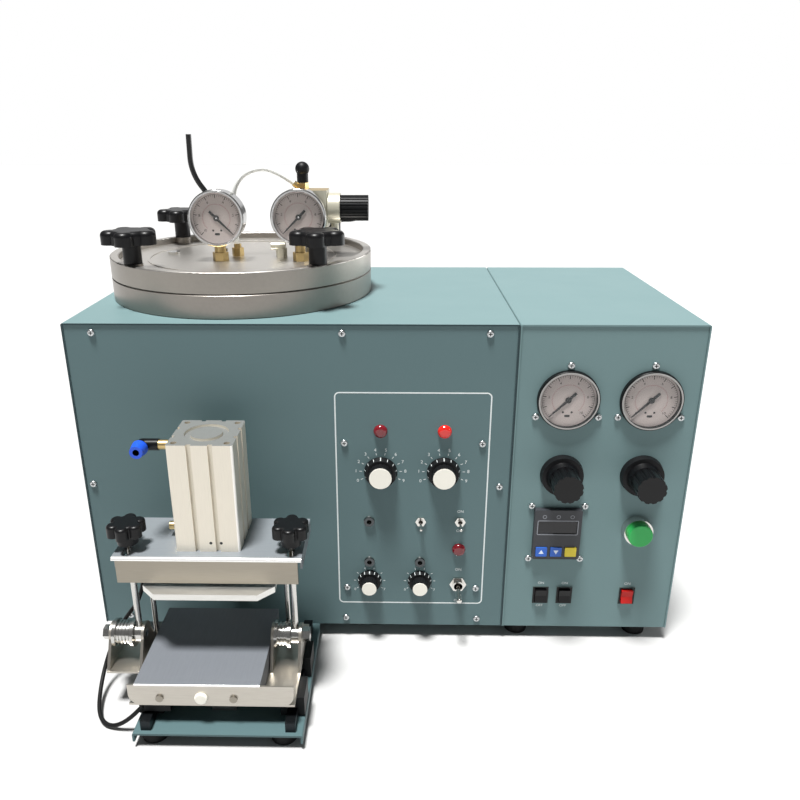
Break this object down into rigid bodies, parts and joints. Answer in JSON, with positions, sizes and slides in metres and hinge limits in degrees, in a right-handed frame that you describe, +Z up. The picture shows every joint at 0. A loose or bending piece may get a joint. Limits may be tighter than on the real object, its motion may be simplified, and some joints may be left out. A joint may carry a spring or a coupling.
{
  "type": "jewelry wax injector",
  "caption": "Bench wax injector for jewellery: heated wax pot with clamped lid, nozzle with a sliding pneumatic mould clamp, and a side control box.",
  "frame": {"origin": "centre of the footprint, on the surface that the rubber feet stand on", "axes": "+Z up; +Y from the operator towards the back, so the front panels face -Y; +X to the operator's right, along the two cabinets"},
  "size_m": [0.608, 0.47, 0.517],
  "materials": {
    "cabinet_paint": "satin",
    "rubber": "matte",
    "steel": "brushed",
    "bright_steel": "polished",
    "aluminium": "machined",
    "brass": "machined",
    "black_plastic": "matte",
    "gloss_black": "gloss",
    "board_green": "matte",
    "lamp_red": "gloss",
    "button_green": "gloss",
    "key_blue": "gloss",
    "key_yellow": "gloss",
    "rocker_red": "gloss",
    "gauge_case": "gloss",
    "needle_black": "matte",
    "clear_hose": "translucent",
    "cream_plastic": "matte",
    "tray_grey": "anodised"
  },
  "bodies": {
    "base": {"main_cover": "cabinet_paint", "main_front_panel": "cabinet_paint", "main_chassis": "cabinet_paint", "control_cover": "cabinet_paint", "control_chassis": "cabinet_paint", "clamp_base": "cabinet_paint", "rubber_feet": "rubber", "panel_screws": "bright_steel", "wax_pot": "aluminium", "injection_valve": "brass", "panel_fittings": "lamp_red", "boards_and_valves": "board_green", "panel_gauges": "gauge_case", "panel_regulators": "black_plastic", "timer_body": "gloss_black", "rear_connectors": "black_plastic", "carriage_drive": "aluminium"},
    "carriage": {"carriage_frame": "steel", "mould_tray": "tray_grey", "slide_blocks": "steel", "side_axles": "bright_steel", "tie_rods": "bright_steel", "bridge": "steel", "clamp_cylinder": "aluminium", "air_fittings": "brass", "carriage_fittings": "black_plastic", "cable": "rubber"},
    "clamp_head": {"clamp_head": "steel"},
    "lid": {"lid": "aluminium", "lid_gauges": "gauge_case", "lid_regulator": "cream_plastic", "lid_fittings": "brass", "white_hose": "clear_hose"},
    "left_star_knob": {"left_star_knob": "black_plastic"},
    "right_star_knob": {"right_star_knob": "black_plastic"},
    "lid_knob_1": {"lid_knob_1": "black_plastic"},
    "lid_knob_2": {"lid_knob_2": "black_plastic"},
    "lid_knob_3": {"lid_knob_3": "black_plastic"},
    "lid_knob_4": {"lid_knob_4": "black_plastic"},
    "lid_regulator_knob": {"lid_regulator_knob": "black_plastic"},
    "left_lid_needle": {"left_lid_needle": "needle_black"},
    "right_lid_needle": {"right_lid_needle": "needle_black"},
    "forward_needle": {"forward_needle": "needle_black"},
    "clamp_needle": {"clamp_needle": "needle_black"},
    "wax_temperature_knob": {"wax_temperature_knob": "black_plastic"},
    "valve_temperature_knob": {"valve_temperature_knob": "black_plastic"},
    "vacuum_knob": {"vacuum_knob": "black_plastic"},
    "injection_knob": {"injection_knob": "black_plastic"},
    "auto_toggle": {"auto_toggle": "bright_steel"},
    "vacuum_toggle": {"vacuum_toggle": "bright_steel"},
    "power_toggle": {"power_toggle": "bright_steel"},
    "forward_pressure_knob": {"forward_pressure_knob": "black_plastic"},
    "clamp_pressure_knob": {"clamp_pressure_knob": "black_plastic"},
    "start_button": {"start_button": "button_green"},
    "timer_up_key": {"timer_up_key": "key_blue"},
    "timer_down_key": {"timer_down_key": "key_blue"},
    "timer_set_key": {"timer_set_key": "key_yellow"},
    "forward_rocker": {"forward_rocker": "gloss_black"},
    "clamp_rocker": {"clamp_rocker": "gloss_black"},
    "mains_rocker": {"mains_rocker": "rocker_red"}
  },
  "joints": [
    {"name": "carriage_slide", "type": "slide", "parent": "base", "child": "carriage", "axis": [0, 1, 0], "range_m": [0, 0.02]},
    {"name": "clamp_head_slide", "type": "slide", "parent": "carriage", "child": "clamp_head", "axis": [0, 0, 1], "range_m": [-0.045, 0], "stiffness_N_per_m": 150, "springref_m": 0.06},
    {"name": "lid_slide", "type": "slide", "parent": "base", "child": "lid", "axis": [0, 0, 1], "range_m": [0, 0.12]},
    {"name": "left_star_knob_turn", "type": "hinge", "parent": "carriage", "child": "left_star_knob", "pos_m": [-0.2345, -0.157, 0.166], "axis": [0, 0, 1], "range_deg": [-90, 720]},
    {"name": "right_star_knob_turn", "type": "hinge", "parent": "carriage", "child": "right_star_knob", "pos_m": [-0.0835, -0.157, 0.166], "axis": [0, 0, 1], "range_deg": [-90, 720]},
    {"name": "lid_knob_1_turn", "type": "hinge", "parent": "lid", "child": "lid_knob_1", "pos_m": [-0.25028, -0.01278, 0.3973], "axis": [0, 0, 1], "range_deg": [0, 1080]},
    {"name": "lid_knob_2_turn", "type": "hinge", "parent": "lid", "child": "lid_knob_2", "pos_m": [-0.06572, -0.01278, 0.3973], "axis": [0, 0, 1], "range_deg": [0, 1080]},
    {"name": "lid_knob_3_turn", "type": "hinge", "parent": "lid", "child": "lid_knob_3", "pos_m": [-0.25028, 0.17178, 0.3973], "axis": [0, 0, 1], "range_deg": [0, 1080]},
    {"name": "lid_knob_4_turn", "type": "hinge", "parent": "lid", "child": "lid_knob_4", "pos_m": [-0.06572, 0.17178, 0.3973], "axis": [0, 0, 1], "range_deg": [0, 1080]},
    {"name": "lid_regulator_knob_turn", "type": "hinge", "parent": "lid", "child": "lid_regulator_knob", "pos_m": [-0.0487, 0.076, 0.4415], "axis": [1, 0, 0], "range_deg": [-720, 720]},
    {"name": "left_lid_needle_turn", "type": "hinge", "parent": "lid", "child": "left_lid_needle", "pos_m": [-0.176, 0.038, 0.435], "axis": [0, 1, 0], "range_deg": [-270, 0]},
    {"name": "right_lid_needle_turn", "type": "hinge", "parent": "lid", "child": "right_lid_needle", "pos_m": [-0.0902, 0.038, 0.436], "axis": [0, 1, 0], "range_deg": [0, 270]},
    {"name": "forward_needle_turn", "type": "hinge", "parent": "base", "child": "forward_needle", "pos_m": [0.1778, -0.076, 0.2775], "axis": [0, 1, 0], "range_deg": [0, 270]},
    {"name": "clamp_needle_turn", "type": "hinge", "parent": "base", "child": "clamp_needle", "pos_m": [0.2572, -0.076, 0.2775], "axis": [0, 1, 0], "range_deg": [0, 270]},
    {"name": "wax_temperature_knob_turn", "type": "hinge", "parent": "base", "child": "wax_temperature_knob", "pos_m": [-0.003, -0.0755, 0.199], "axis": [0, 1, 0], "range_deg": [-135, 135]},
    {"name": "valve_temperature_knob_turn", "type": "hinge", "parent": "base", "child": "valve_temperature_knob", "pos_m": [0.06, -0.0755, 0.199], "axis": [0, 1, 0], "range_deg": [-135, 135]},
    {"name": "vacuum_knob_turn", "type": "hinge", "parent": "base", "child": "vacuum_knob", "pos_m": [-0.015, -0.0755, 0.0715], "axis": [0, 1, 0], "range_deg": [-135, 135]},
    {"name": "injection_knob_turn", "type": "hinge", "parent": "base", "child": "injection_knob", "pos_m": [0.038, -0.0755, 0.0715], "axis": [0, 1, 0], "range_deg": [-135, 135]},
    {"name": "auto_toggle_turn", "type": "hinge", "parent": "base", "child": "auto_toggle", "pos_m": [0.038, -0.074, 0.1435], "axis": [1, 0, 0], "range_deg": [-24, 0]},
    {"name": "vacuum_toggle_turn", "type": "hinge", "parent": "base", "child": "vacuum_toggle", "pos_m": [0.0785, -0.074, 0.1435], "axis": [1, 0, 0], "range_deg": [-24, 0]},
    {"name": "power_toggle_turn", "type": "hinge", "parent": "base", "child": "power_toggle", "pos_m": [0.0785, -0.074, 0.069], "axis": [1, 0, 0], "range_deg": [-24, 0]},
    {"name": "forward_pressure_knob_turn", "type": "hinge", "parent": "base", "child": "forward_pressure_knob", "pos_m": [0.1778, -0.0823, 0.198], "axis": [0, 1, 0], "range_deg": [-720, 720]},
    {"name": "clamp_pressure_knob_turn", "type": "hinge", "parent": "base", "child": "clamp_pressure_knob", "pos_m": [0.2572, -0.0823, 0.198], "axis": [0, 1, 0], "range_deg": [-720, 720]},
    {"name": "start_button_slide", "type": "slide", "parent": "base", "child": "start_button", "axis": [0, 1, 0], "range_m": [0, 0.004], "stiffness_N_per_m": 300, "springref_m": -0.002},
    {"name": "timer_up_key_slide", "type": "slide", "parent": "base", "child": "timer_up_key", "axis": [0, 1, 0], "range_m": [0, 0.0008], "stiffness_N_per_m": 500, "springref_m": -0.0005},
    {"name": "timer_down_key_slide", "type": "slide", "parent": "base", "child": "timer_down_key", "axis": [0, 1, 0], "range_m": [0, 0.0008], "stiffness_N_per_m": 500, "springref_m": -0.0005},
    {"name": "timer_set_key_slide", "type": "slide", "parent": "base", "child": "timer_set_key", "axis": [0, 1, 0], "range_m": [0, 0.0008], "stiffness_N_per_m": 500, "springref_m": -0.0005},
    {"name": "forward_rocker_turn", "type": "hinge", "parent": "base", "child": "forward_rocker", "pos_m": [0.1665, -0.073, 0.0565], "axis": [1, 0, 0], "range_deg": [-7, 7]},
    {"name": "clamp_rocker_turn", "type": "hinge", "parent": "base", "child": "clamp_rocker", "pos_m": [0.1915, -0.073, 0.0565], "axis": [1, 0, 0], "range_deg": [-7, 7]},
    {"name": "mains_rocker_turn", "type": "hinge", "parent": "base", "child": "mains_rocker", "pos_m": [0.2575, -0.073, 0.0565], "axis": [1, 0, 0], "range_deg": [-7, 7]}
  ]
}
